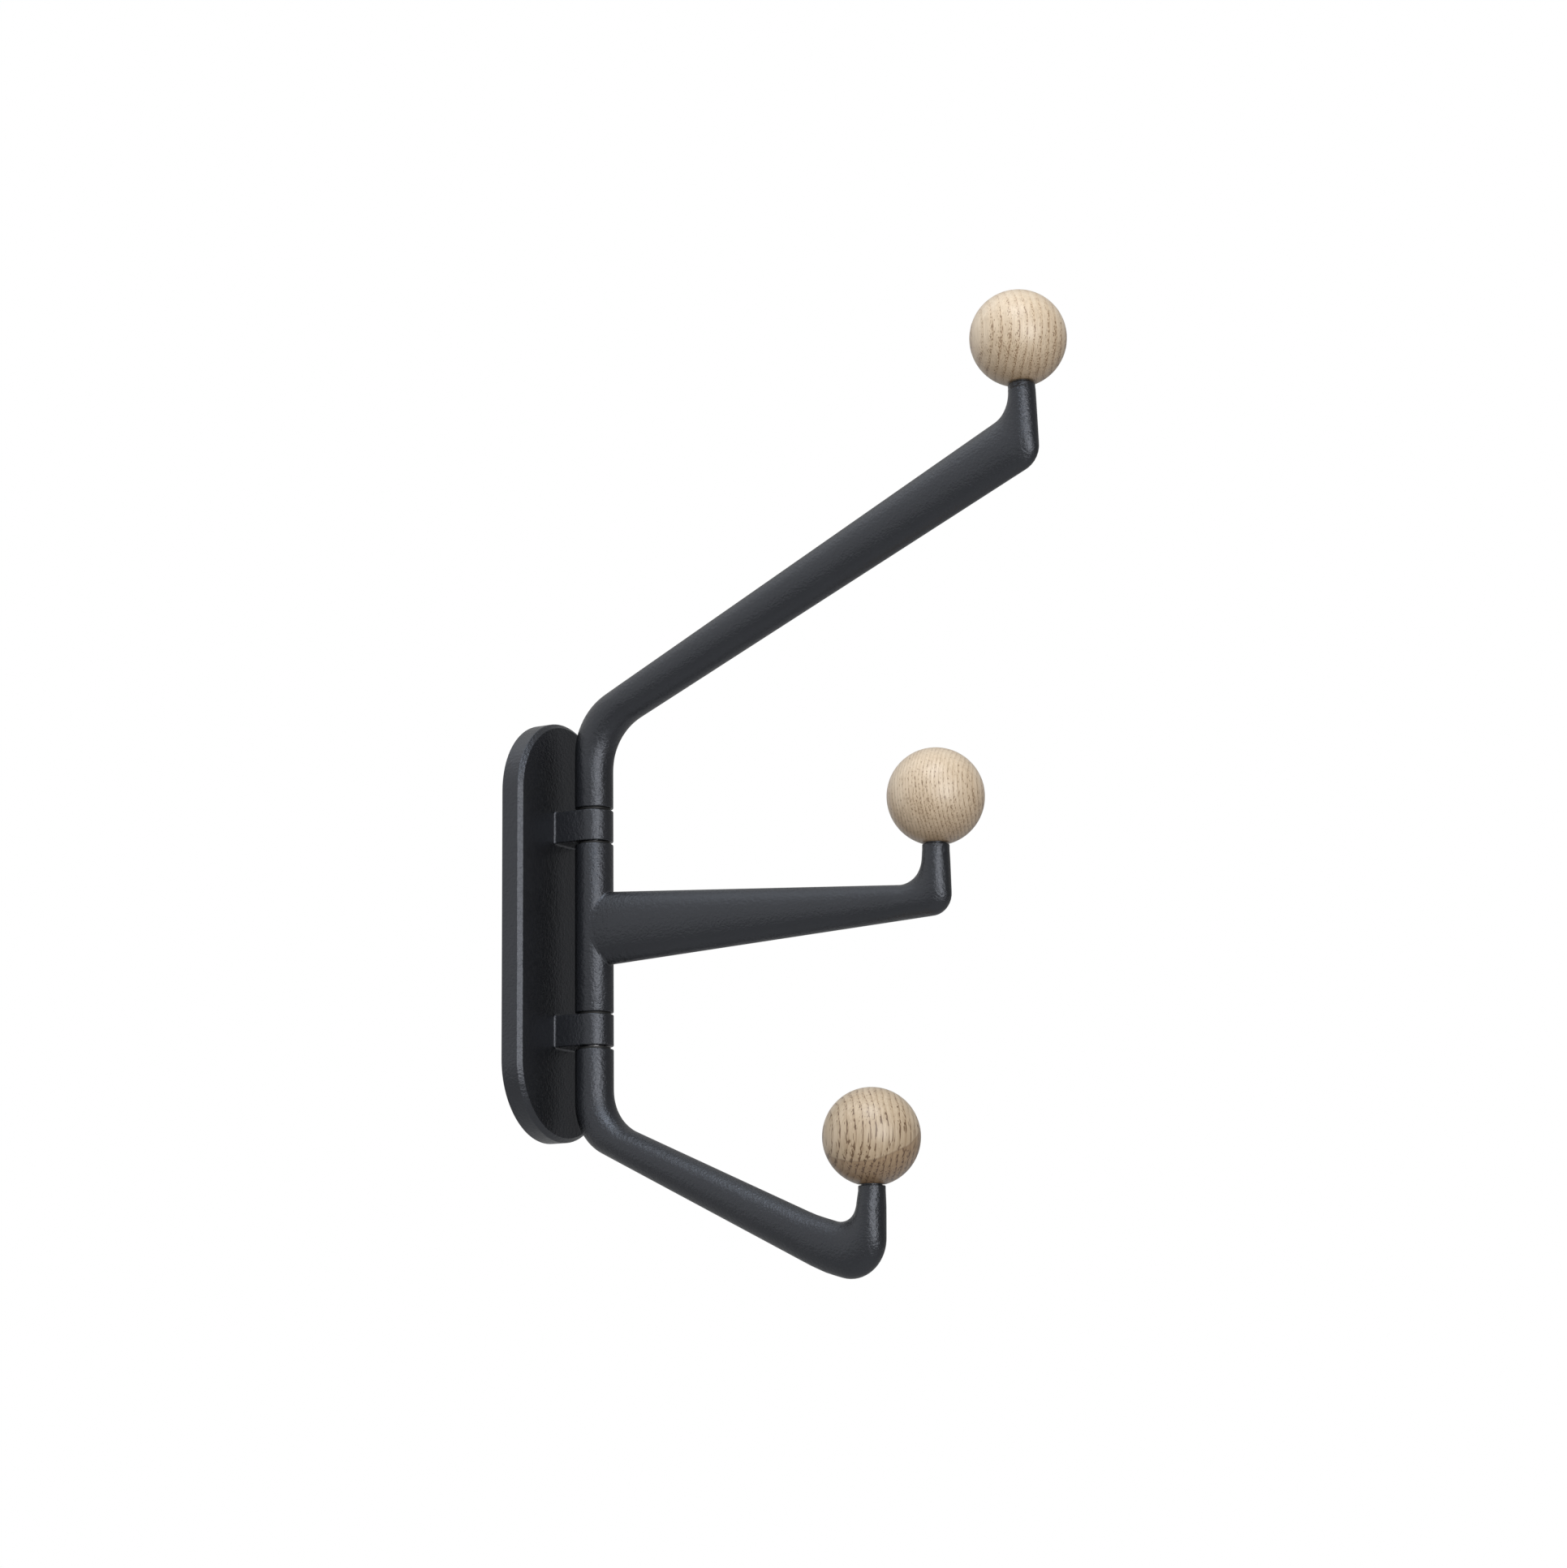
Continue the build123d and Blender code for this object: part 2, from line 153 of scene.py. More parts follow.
# Rings of points, from which every piece is built
def ring(first, second, width):
    """An oval ring in the model's frame between two side view points, with a half-width in x."""
    first = Vector(first)
    second = Vector(second)
    middle = (first + second) / 2
    half = (first - second) / 2
    points = []
    for step in range(ring_points):
        angle = 2 * pi * step / ring_points
        flat = middle + half * cos(angle)
        points.append(Vector((width * sin(angle), -pivot_distance - flat.x, flat.y)) * mm)
    return points


def turned(foot, lean, profile, side=1):
    """Rings about an axis: the profile gives (radius, height above the foot) for each ring."""
    back = radians(lean)
    rings = []
    for radius, height in profile:
        middle = Vector(foot) + Vector((-sin(back), cos(back))) * height
        across = Vector((cos(back), sin(back))) * radius * side
        rings.append(ring(middle - across, middle + across, radius))
    return rings


def rounding(radius, height, size, turn_from, turn_to):
    """Profile points round a quarter edge about (radius, height), between two angles."""
    points = []
    for step in range(rounding_steps + 1):
        angle = radians(turn_from + (turn_to - turn_from) * step / rounding_steps)
        points.append((radius + size * cos(angle), height + size * sin(angle)))
    return points


def rim_profile(way):
    """From the blind end of the rod's bore to the outside of a tube; way is 1 if it opens down."""
    edge = rounding(tube_radius - rim_fillet, rim_fillet, rim_fillet, -90, 0)
    inside = [
        (0.0, rod_bore_depth),
        (rod_bore_radius, rod_bore_depth),
        (rod_bore_radius, bush_seat_depth),
        (bush_seat_radius, bush_seat_depth),
        (bush_seat_radius, 0.0),
    ]
    return [(radius, height * way) for radius, height in inside + edge]


def neck_profile():
    """From a neck's round end, over its broken edge and its shadow groove, into the stud's hole."""
    shoulder = -neck_groove_height
    edge = rounding(neck_radius - neck_rim_fillet, shoulder - neck_rim_fillet, neck_rim_fillet, 0, 90)
    groove = [(neck_groove_radius, shoulder), (neck_groove_radius, 0.0)]
    inside = [(stud_hole_radius, 0.0), (stud_hole_radius, -stud_hole_depth), (0.0, -stud_hole_depth)]
    return edge + groove + inside


def shell(rings, closed=False, filled=False):
    """Points and faces of a skin through rings.

    closed joins the last ring to the first, filled puts a face in the first and the last ring.
    """
    count = len(rings[0])
    points = [point for one in rings for point in one]
    faces = []
    pairs = len(rings) if closed else len(rings) - 1
    for row in range(pairs):
        low = row * count
        high = (row + 1) % len(rings) * count
        for step in range(count):
            after = (step + 1) % count
            faces.append((low + step, low + after, high + after, high + step))
    if filled:
        faces.append(tuple(range(count)))
        faces.append(tuple(range(len(points) - count, len(points))))
    return points, faces


def mesh_object(name, shells):
    """A mesh object made of shells, joined where they meet."""
    points = []
    faces = []
    for shell_points, shell_faces in shells:
        faces += [tuple(index + len(points) for index in face) for face in shell_faces]
        points += shell_points
    mesh = bpy.data.meshes.new(name)
    mesh.from_pydata(points, [], faces)
    built = bmesh.new()
    built.from_mesh(mesh)
    bmesh.ops.remove_doubles(built, verts=built.verts, dist=weld_distance)
    bmesh.ops.recalc_face_normals(built, faces=built.faces)
    built.to_mesh(mesh)
    built.free()
    made = bpy.data.objects.new(name, mesh)
    bpy.context.scene.collection.objects.link(made)
    return made


def dress(made, body, replaced, material):
    """Shade an object smooth, give it its material and let it replace a node on its body."""
    made.data.shade_smooth()
    made.data.set_sharp_from_angle(angle=radians(sharp_angle))
    made.data.materials.append(material)
    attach(made, body)
    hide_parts(replaced)


def drilled(made, cutters):
    """Cut holes into an object with solid cutters, which are then thrown away."""
    for cutter in cutters:
        cut = made.modifiers.new("hole", "BOOLEAN")
        cut.operation = "DIFFERENCE"
        cut.solver = "EXACT"
        cut.object = cutter
    evaluated = made.evaluated_get(bpy.context.evaluated_depsgraph_get())
    solid = bpy.data.meshes.new_from_object(evaluated)
    made.modifiers.clear()
    made.data = solid
    for cutter in cutters:
        bpy.data.objects.remove(cutter)


# Materials
def new_material(name):
    """A material with its node tree and its shader."""
    material = bpy.data.materials.new(name)
    material.use_nodes = True
    tree = material.node_tree
    return material, tree, tree.nodes["Principled BSDF"]


def feed(tree, value, socket):
    """Link an output to a socket, or set the socket to a plain value."""
    if isinstance(value, bpy.types.NodeSocket):
        tree.links.new(value, socket)
    else:
        socket.default_value = value


def node(tree, kind, **settings):
    """A new node with its settings. Those that start with in_ are what its sockets are fed."""
    made = tree.nodes.new(kind)
    for key, value in settings.items():
        if key.startswith("in_"):
            feed(tree, value, made.inputs[key[3:].replace("_", " ")])
        else:
            setattr(made, key, value)
    return made


def calculated(tree, operation, *values):
    """A number worked out from numbers."""
    made = node(tree, "ShaderNodeMath", operation=operation)
    for value, socket in zip(values, made.inputs):
        feed(tree, value, socket)
    return made.outputs["Value"]


def vector_calculated(tree, operation, *values):
    """A vector, or a dot product's number, worked out from vectors."""
    made = node(tree, "ShaderNodeVectorMath", operation=operation)
    for value, socket in zip(values, made.inputs):
        feed(tree, value, socket)
    return made.outputs["Value" if operation == "DOT_PRODUCT" else "Vector"]


def spread(tree, value, low, high, start=0.0, end=1.0):
    """A value that runs from low to high while another one runs from start to end."""
    made = node(
        tree, "ShaderNodeMapRange", in_Value=value,
        in_From_Min=start, in_From_Max=end, in_To_Min=low, in_To_Max=high,
    )
    return made.outputs["Result"]


def noise(tree, where, scale, detail, roughness=0.5, output="Fac"):
    """A noise texture's value or its colour."""
    made = node(
        tree, "ShaderNodeTexNoise", in_Vector=where,
        in_Scale=scale, in_Detail=detail, in_Roughness=roughness,
    )
    return made.outputs[output]


def bumped(tree, height, depth, strength, **settings):
    """A normal with a relief of this depth in metres."""
    made = node(
        tree, "ShaderNodeBump", in_Height=height, in_Distance=depth, in_Strength=strength, **settings
    )
    return made.outputs["Normal"]


def object_places(tree):
    """Places on the object, in metres."""
    return tree.nodes.new("ShaderNodeTexCoord").outputs["Object"]


def ramp(tree, source, stops):
    """A colour ramp fed by a value, with stops of (place, colour)."""
    made = node(tree, "ShaderNodeValToRGB", in_Fac=source)
    elements = made.color_ramp.elements
    elements[0].position = stops[0][0]
    elements[1].position = stops[-1][0]
    for place, _ in stops[1:-1]:
        elements.new(place)
    for element, (_, colour) in zip(elements, stops):
        element.color = (*colour, 1)
    return made.outputs["Color"]


def powder_coat():
    """Anthracite powder coat: satin, with a fine grain and slow changes of gloss."""
    material, tree, shader = new_material("powder_coat")
    where = object_places(tree)
    grain = noise(tree, where, scale=1200.0, detail=3.0, roughness=0.7)
    ripple = noise(tree, where, scale=600.0, detail=1.0)
    cloud = noise(tree, where, scale=60.0, detail=3.0)
    darkest = (0.0042, 0.0046, 0.0056)
    lightest = (0.0060, 0.0065, 0.0078)
    rippled = bumped(tree, ripple, depth=0.00009, strength=1.0)
    feed(tree, ramp(tree, cloud, [(0.3, darkest), (0.7, lightest)]), shader.inputs["Base Color"])
    feed(tree, spread(tree, cloud, low=0.20, high=0.28), shader.inputs["Roughness"])
    feed(tree, bumped(tree, grain, depth=0.00018, strength=1.0, in_Normal=rippled), shader.inputs["Normal"])
    shader.inputs["Specular IOR Level"].default_value = 0.82
    shader.inputs["Specular Tint"].default_value = (0.86, 0.90, 1.0, 1)
    return material


def stretched(tree, where, share):
    """Places that draw a texture out along z, the less the share the longer."""
    made = node(tree, "ShaderNodeMapping", in_Vector=where, in_Scale=(1.0, 1.0, share))
    return made.outputs["Vector"]


def fibre_places(tree, middle, lean):
    """Places from a ball's middle, in metres, with z along fibres that lean about x and y."""
    centred = vector_calculated(tree, "SUBTRACT", object_places(tree), middle * mm)
    tipped = (radians(lean[0]), radians(lean[1]), 0)
    aligned = node(
        tree, "ShaderNodeMapping", vector_type="TEXTURE", in_Vector=centred, in_Rotation=tipped
    )
    return aligned.outputs["Vector"]


def growth_rings(tree, wavy, pith, spacing):
    """A value that climbs from 0 to 1 through each year's wood, by the distance from the pith."""
    from_pith = vector_calculated(tree, "SUBTRACT", wavy, Vector((*pith, 0)) * mm)
    rings = node(
        tree, "ShaderNodeTexWave", wave_type="RINGS", rings_direction="Z", wave_profile="SAW",
        in_Vector=from_pith, in_Scale=pi / (10 * spacing * mm), in_Distortion=0.0,
    )
    return rings.outputs["Fac"]


def open_pores(tree, along, wavy, year, patches, size, length, share):
    """Dashes along the fibres, most in the early wood and in some patches. There are more of them low on
    the ball and fewer high on it, a painted shade that makes the ball darker towards its bottom.
    """
    early_level = 0.68 - share * 0.4   # the lower the level, the more pores
    late_level = 0.70
    drawn = stretched(tree, wavy, size / length)
    dashes = noise(tree, drawn, scale=0.5 / (size * mm), detail=1.0)
    by_year = spread(tree, year, low=early_level, high=late_level, end=0.6)
    by_patch = spread(tree, patches, low=-0.05, high=0.05, start=0.35, end=0.65)
    # Painted shade: pores thin out high on the ball and gather low on it, so the ball is paler at its top
    # and darker towards its bottom
    height = vector_calculated(tree, "DOT_PRODUCT", along, (0, 0, 1))
    painted_shade_by_height = spread(tree, height, low=-0.06, high=0.06, start=11 * mm, end=-9 * mm)
    value = calculated(tree, "SUBTRACT", dashes, by_year)
    value = calculated(tree, "SUBTRACT", value, by_patch)
    value = calculated(tree, "ADD", value, painted_shade_by_height)
    return spread(tree, value, low=0.0, high=1.0, end=0.05)


def heart_layer(tree, wavy, heart):
    """Brown below a tilted plane through the ball, with a darker line along its edge."""
    square_to_plane = (-0.52, -0.03, 0.85)
    across = vector_calculated(tree, "DOT_PRODUCT", wavy, square_to_plane)
    edge = spread(tree, across, low=0.0, high=1.0, start=-1.8 * mm, end=-0.4 * mm)
    brown = (1 - heart, 1 - 1.3 * heart, 1 - 1.6 * heart)
    line = tuple(0.8 * part for part in brown)
    return ramp(tree, edge, [(0.0, brown), (0.45, brown), (0.6, line), (1.0, (1.0, 1.0, 1.0))])


def darkened(tree, tone, layer, share=1.0):
    """A colour multiplied by a layer's colour, wholly or by a share."""
    made = node(
        tree, "ShaderNodeMix", data_type="RGBA", blend_type="MULTIPLY",
        in_Factor=share, in_A=tone, in_B=layer,
    )
    return made.outputs["Result"]


def oak(
    name, middle, lean, pith, spacing, bend, tones,
    pore_tone, pore_size, pore_length, pore_share, heart=0.0,
):
    """Lacquered oak, with its fibres upright.

    middle is the ball's middle in mm and lean tips the fibres about x and y, in degrees. Growth
    rings lie about the pith, which is given in mm from the ball's middle, level and square to the
    photograph's view, at a spacing in mm, and wander by the bend. tones are the early, middle and
    late wood. Pores are dashes of a size and length in mm that take up a share of the early wood,
    thin out in the late wood and gather in patches. Below the heart's edge the wood is darker by
    this share.
    """
    material, tree, shader = new_material(name)
    along = fibre_places(tree, middle, lean)
    slow = stretched(tree, along, 0.45)
    wander = noise(tree, slow, scale=90.0, detail=2.0, output="Color")
    wavy = vector_calculated(tree, "MULTIPLY_ADD", wander, (bend * mm, bend * mm, 0.0), along)
    year = growth_rings(tree, wavy, pith, spacing)
    fibres = noise(tree, stretched(tree, along, 0.06), scale=1500.0, detail=3.0, roughness=0.6)
    patches = noise(tree, slow, scale=110.0, detail=2.0)
    pores = open_pores(tree, along, wavy, year, patches, pore_size, pore_length, pore_share)

    # Colour: the year's tone, then slow patches, fibres, the darker heart and the pores
    white = (1.0, 1.0, 1.0)
    early, medium, late = tones
    tone = ramp(tree, year, [(0.0, early), (0.16, medium), (0.55, late), (0.93, late), (1.0, early)])
    tone = darkened(tree, tone, ramp(tree, patches, [(0.3, (0.90, 0.86, 0.81)), (0.65, white)]))
    tone = darkened(tree, tone, ramp(tree, fibres, [(0.32, (0.82, 0.79, 0.75)), (0.62, white)]))
    if heart:
        tone = darkened(tree, tone, heart_layer(tree, wavy, heart))
    feed(tree, darkened(tree, tone, (*pore_tone, 1), pores), shader.inputs["Base Color"])

    # Open pores are small dents, and the lacquer is a little duller along the fibres
    dents = bumped(tree, pores, depth=0.00006, strength=0.5, invert=True)
    feed(tree, bumped(tree, fibres, depth=0.00004, strength=0.35, in_Normal=dents), shader.inputs["Normal"])
    feed(tree, spread(tree, fibres, low=0.42, high=0.56), shader.inputs["Roughness"])
    shader.inputs["Coat Weight"].default_value = 1.0
    shader.inputs["Coat Roughness"].default_value = 0.34
    return material


def upper_oak(middle):
    """Pale, with wide upright rings marked by rows of short pores."""
    return oak(
        "oak_upper", middle, lean=(1, -2), pith=(30, -49), spacing=2.4, bend=2.6,
        tones=((0.61, 0.48, 0.335), (0.64, 0.515, 0.37), (0.665, 0.55, 0.41)),
        pore_tone=(0.44, 0.35, 0.27), pore_size=0.16, pore_length=0.5, pore_share=0.40,
    )


def middle_oak(middle):
    """Pale, with fine close rings and small pores."""
    return oak(
        "oak_middle", middle, lean=(-3, 2), pith=(-14, 24), spacing=1.15, bend=1.7,
        tones=((0.52, 0.41, 0.285), (0.61, 0.49, 0.355), (0.65, 0.535, 0.40)),
        pore_tone=(0.42, 0.34, 0.26), pore_size=0.16, pore_length=0.6, pore_share=0.34,
    )


def lower_oak(middle):
    """Browner, with long broken pores and a darker heart below."""
    return oak(
        "oak_lower", middle, lean=(4, -3), pith=(26, -40), spacing=1.9, bend=3.4,
        tones=((0.40, 0.295, 0.19), (0.47, 0.365, 0.25), (0.54, 0.435, 0.31)),
        pore_tone=(0.34, 0.25, 0.16), pore_size=0.26, pore_length=2.4, pore_share=0.48, heart=0.25,
    )


def steel():
    """Plain zinc-plated steel with fine brushing."""
    material, tree, shader = new_material("steel")
    brushed = noise(tree, object_places(tree), scale=1800.0, detail=3.0)
    tone = ramp(tree, brushed, [(0.3, (0.48, 0.48, 0.49)), (0.7, (0.60, 0.60, 0.61))])
    feed(tree, tone, shader.inputs["Base Color"])
    feed(tree, spread(tree, brushed, low=0.28, high=0.45), shader.inputs["Roughness"])
    shader.inputs["Metallic"].default_value = 1.0
    return material


def bush_plastic():
    """Black bearing plastic, slightly mottled."""
    material, tree, shader = new_material("bush_plastic")
    mottle = noise(tree, object_places(tree), scale=900.0, detail=2.0)
    tone = ramp(tree, mottle, [(0.3, (0.006, 0.006, 0.006)), (0.7, (0.012, 0.012, 0.012))])
    feed(tree, tone, shader.inputs["Base Color"])
    shader.inputs["Roughness"].default_value = 0.55
    return material


coat = powder_coat()
metal = steel()
plastic = bush_plastic()
for name, built_node in nodes.items():
    built_node.data.materials.clear()
    built_node.data.materials.append(plastic if "bush" in name else metal)


# Wall plate: a stadium with eased edges, a recess in its back and two knuckles
def eased(corners, size):
    """A profile whose inner corners are eased, with a point close by each side of the curve."""
    corners = [Vector(corner) for corner in corners]
    close_by = 1.5                 # times the size of the curve
    points = [corners[0]]
    for before, corner, after in zip(corners, corners[1:], corners[2:]):
        back = (before - corner).normalized() * size
        ahead = (after - corner).normalized() * size
        points.append(corner + back * close_by)
        for step in range(ease_steps + 1):
            share = step / ease_steps
            points.append(corner + back * (1 - share) ** 2 + ahead * share**2)
        points.append(corner + ahead * close_by)
    return points + [corners[-1]]


def stadium(inset, depth):
    """A ring round the plate, in from its edge and out from the wall."""
    radius = plate_width / 2 - inset
    straight = (plate_height - plate_width) / 2
    points = []
    for side in (1, -1):
        for step in range(end_points):
            angle = pi * step / (end_points - 1)
            across = radius * cos(angle) * side
            points.append(Vector((across, -depth, side * (straight + radius * sin(angle)))) * mm)
    return points


def recess_ring(depth, bottom):
    """A ring round the recess, with the stadium's count of points. Its lower end is at the bottom."""
    straight = (plate_height - plate_width) / 2
    points = []
    for side, end in ((1, recess_half_height), (-1, bottom)):
        for step in range(end_points):
            # Up one side to 1, across the end to 3, down the other side to 4
            share = 4 * step / (end_points - 1)
            level = straight + (end - straight) * min(share, 4 - share, 1)
            across = recess_half_width * min(1, max(-1, 2 - share))
            points.append(Vector((across * side, -depth, level * side)) * mm)
    return points


def knuckle_half(side):
    """Stations from the nose's front to the plate's face, on one side.

    Each is (middle of the rim's rounding, outwards, inner end of the flat top, how much wider
    the foot's fillet makes it, whether the bore opens there), in mm from the pivot's axis.
    """
    core = tube_radius - rim_fillet
    found = []
    for step in range(nose_steps + 1):
        angle = radians(-90 + 90 * step / nose_steps)
        out = Vector((cos(angle) * side, sin(angle)))
        found.append((out * core, out, out * knuckle_bore_radius, 0.0, True))
    across = Vector((side, 0))
    for step in range(1, bore_steps + 1):
        angle = radians(90 * step / bore_steps)
        inner = Vector((cos(angle) * side, sin(angle))) * knuckle_bore_radius
        found.append((Vector((core * side, inner.y)), across, inner, 0.0, True))
    face = pivot_distance - plate_thickness
    start = face - knuckle_foot_fillet
    before = start - beside_edge
    found.append((Vector((core * side, before)), across, Vector((0, before)), 0.0, False))
    for step in range(fillet_steps + 1):
        angle = radians(90 * step / fillet_steps)
        along = start + knuckle_foot_fillet * sin(angle)
        wider = knuckle_foot_fillet * (1 - cos(angle))
        found.append((Vector((core * side, along)), across, Vector((0, along)), wider, False))
    return found


def knuckle(middle):
    """A knuckle's skin about the pivot's axis at a height, open at the plate and at its bore."""
    flat = knuckle_height / 2 - rim_fillet
    rows = []
    stations = knuckle_half(-1)[:0:-1] + knuckle_half(1)
    bore_opens = []
    for core, out, inner, wider, bored in stations:
        bore_opens.append(bored)
        size = rim_fillet + wider
        row = [(inner, flat + size), (core - out * beside_edge, flat + size)]
        for step in range(ease_steps + 1):
            angle = radians(90 - 90 * step / ease_steps)
            row.append((core + out * size * cos(angle), flat + size * sin(angle)))
        row.append((core + out * size, flat - beside_edge))
        row += [(place, -height) for place, height in row[::-1]]
        rows.append([
            Vector((place.x, place.y - pivot_distance, middle + height)) * mm for place, height in row
        ])
    points = [point for row in rows for point in row]
    count = len(rows[0])
    faces = []
    for row in range(len(rows) - 1):
        low = row * count
        both_open = bore_opens[row] and bore_opens[row + 1]
        for step in range(count if both_open else count - 1):
            after = (step + 1) % count
            faces.append((low + step, low + after, low + count + after, low + count + step))
    return points, faces


def hole_rings(middle, along, radius, start, end):
    """Two rings about an axis along y or z, for a cutter or for the wall of a hole."""
    rings = []
    for reach in (start, end):
        points = []
        for step in range(hole_points):
            angle = 2 * pi * step / hole_points
            across = Vector((cos(angle), 0, 0)) * radius
            if along == "y":
                across += Vector((0, reach, sin(angle) * radius))
            else:
                across += Vector((0, sin(angle) * radius, reach))
            points.append((Vector(middle) + across) * mm)
        rings.append(points)
    return rings


def wall_plate():
    """The plate with its holes, then the knuckles and the walls of the holes behind them."""
    back_row = 1.0                 # in from the edge, the last row of the back's rim
    face_row = 5.0                 # in from the edge, a row on the plate's face
    run_in = 0.3                   # the top hole starts this far inside the recess
    overrun = 0.5                  # cutters end this far out in the open
    overlap = 0.1                  # the holes' walls start this far inside the plate
    front = eased(
        [
            (back_row, 0.0),
            (0.0, 0.0),
            (0.0, plate_thickness - plate_chamfer),
            (plate_chamfer, plate_thickness),
            (face_row, plate_thickness),
        ],
        plate_edge_ease,
    )
    rings = [
        recess_ring(recess_depth, recess_half_height),
        recess_ring(0.0, recess_half_height - recess_slope),
    ]
    rings += [stadium(*spot) for spot in front]
    made = mesh_object("wall_plate_cast", [shell(rings, filled=True)])
    top_start = recess_half_height - run_in
    top_end = plate_height / 2 + overrun
    cutters = [hole_rings((0, -top_grub_distance, 0), "z", grub_hole_radius, top_start, top_end)]
    wall_start = overlap - plate_thickness
    wall_end = knuckle_bore_radius - pivot_distance
    skins = []
    for height in (-knuckle_middle, knuckle_middle):
        hole = ((0, 0, height), "y", grub_hole_radius)
        cutters.append(hole_rings(*hole, overrun - recess_depth, -plate_thickness - overrun))
        skins += [knuckle(height), shell(hole_rings(*hole, wall_start, wall_end))]
    drilled(made, [mesh_object("cutter", [shell(cutter, filled=True)]) for cutter in cutters])
    knuckles = mesh_object("knuckles_cast", skins)
    for part in (made, knuckles):
        dress(part, "mount", "wall_plate", coat)


wall_plate()


# The arms: each has two outlines, over and under, which end in the edges of its neck. At a turn, an
# ease and a tip two straight runs would meet, and the bends are the radii that round them.
def neck_edges(name):
    """The two edges of a neck where its round end starts, the one nearer the wall first."""
    back = radians(neck_leans[name])
    middle = neck_tops[name] + Vector((sin(back), -cos(back))) * neck_end
    across = Vector((cos(back), sin(back))) * neck_radius
    return middle - across, middle + across


def arm(name, start_rings, found, extra=()):
    """An arm: the rings it starts with, its sections and its neck's round end."""
    near, far = neck_edges(name)
    rings = start_rings + [ring(*section) for section in found] + [ring(near, far, neck_radius)]
    rings += turned(neck_tops[name], neck_leans[name], neck_profile())
    made = mesh_object(f"{name}_arm_cast", [shell(rings), *extra])
    dress(made, f"{name}_hook", f"{name}_arm", coat)


def upper_arm():
    """The bend follows the under side, the reach and the corner at the tip follow the top."""
    top = neck_tops["upper"]
    near, far = neck_edges("upper")
    over_turn = (-tube_radius, upper_rim + 31.5)
    under_turn = (tube_radius, upper_rim + 23.7)
    over_tip = top + Vector((-3.75, -8.78))
    under_tip = top + Vector((5.45, -25.38))
    over_bends = (20.4, 9.3)
    under_bends = (17.7, 7.7)
    blade_start = 6.0              # half-widths of the blade
    blade_end = 4.5
    widths = (tube_radius, tube_radius, blade_start, blade_end, blade_end, neck_radius)
    over = runs([(-tube_radius, upper_rim), over_turn, over_tip, near], over_bends, widths)
    under = runs([(tube_radius, upper_rim), under_turn, under_tip, far], under_bends, widths)
    middle = top.x / 2
    bend = [found for found in sections(under, over) if found[0].x < middle]
    tip = [found for found in sections(over, under) if found[0].x > middle]
    start = turned((0, upper_rim), 0, rim_profile(1))
    arm("upper", start, swapped(bend) + tip)


def lower_arm():
    """The root's bend, a slow bend before the tip and the corner all follow the top side."""
    top = neck_tops["lower"]
    near, far = neck_edges("lower")
    over_turn = (tube_radius, lower_rim - 22.75)
    under_turn = (-tube_radius, lower_rim - 28.5)
    over_ease = top + Vector((-19.8, -8.35))
    under_ease = top + Vector((-17.6, -25.75))
    over_tip = top + Vector((-5.65, -12.7))
    under_tip = top + Vector((4.05, -32.05))
    over_bends = (15.8, 48.0, 6.05)
    under_bends = (17.6, 51.0, 11.45)
    blade_start = 6.0              # half-widths of the blade
    blade_end = 4.9
    widths = (tube_radius, tube_radius, blade_start, *[blade_end] * 4, neck_radius)
    over = runs([(tube_radius, lower_rim), over_turn, over_ease, over_tip, near], over_bends, widths)
    under = runs([(-tube_radius, lower_rim), under_turn, under_ease, under_tip, far], under_bends, widths)
    start = turned((0, lower_rim), 0, rim_profile(-1), side=-1)
    arm("lower", start, sections(over, under))


def middle_arm():
    """A sleeve, and a tapered blade that grows out of it with a small hollow at the crease."""
    root_top = 11.8                # heights of the blade's edges on the pivot's axis
    root_bottom = -12.5
    root_half_width = 5.55
    inside = 0.3                   # how far the blade reaches into the sleeve
    over_bend = 7.9
    under_bend = 6.3
    blade_start = 5.6              # half-widths of the blade
    blade_end = 4.6
    corner_end = 4.4
    top = neck_tops["middle"]
    near, far = neck_edges("middle")
    over_tip = top + Vector((-4.95, -12.36))
    under_tip = top + Vector((4.85, -21.96))
    widths = (blade_start, blade_end, corner_end, neck_radius)
    over = runs([(0, root_top), over_tip, near], [over_bend], widths)
    under = runs([(0, root_bottom), under_tip, far], [under_bend], widths)

    def root(outwards, wider):
        """A ring that follows the sleeve's surface, this far outside it and this much wider."""
        points = []
        for step in range(ring_points):
            angle = 2 * pi * step / ring_points
            x = (root_half_width + wider) * sin(angle)
            reach = sqrt(tube_radius**2 - x**2) + outwards
            high = root_top + (over_tip.y - root_top) * reach / over_tip.x + wider
            low = root_bottom + (under_tip.y - root_bottom) * reach / under_tip.x - wider
            height = (high + low) / 2 + (high - low) / 2 * cos(angle)
            points.append(Vector((x, -pivot_distance - reach, height)) * mm)
        return points

    hollow = 0.29 * crease_fillet  # at the middle of the fillet's quarter arc
    start = [
        root(-inside, crease_fillet),
        root(0.0, crease_fillet),
        root(hollow, hollow),
        root(crease_fillet, 0.0),
    ]
    bottom = rim_profile(1)[2:]
    upper = [(radius, sleeve_top - sleeve_bottom + height) for radius, height in rim_profile(-1)[2:]]
    sleeve = shell(turned((0, sleeve_bottom), 0, bottom + upper[::-1]), closed=True)
    arm("middle", start, sections(over, under), [sleeve])


upper_arm()
middle_arm()
lower_arm()


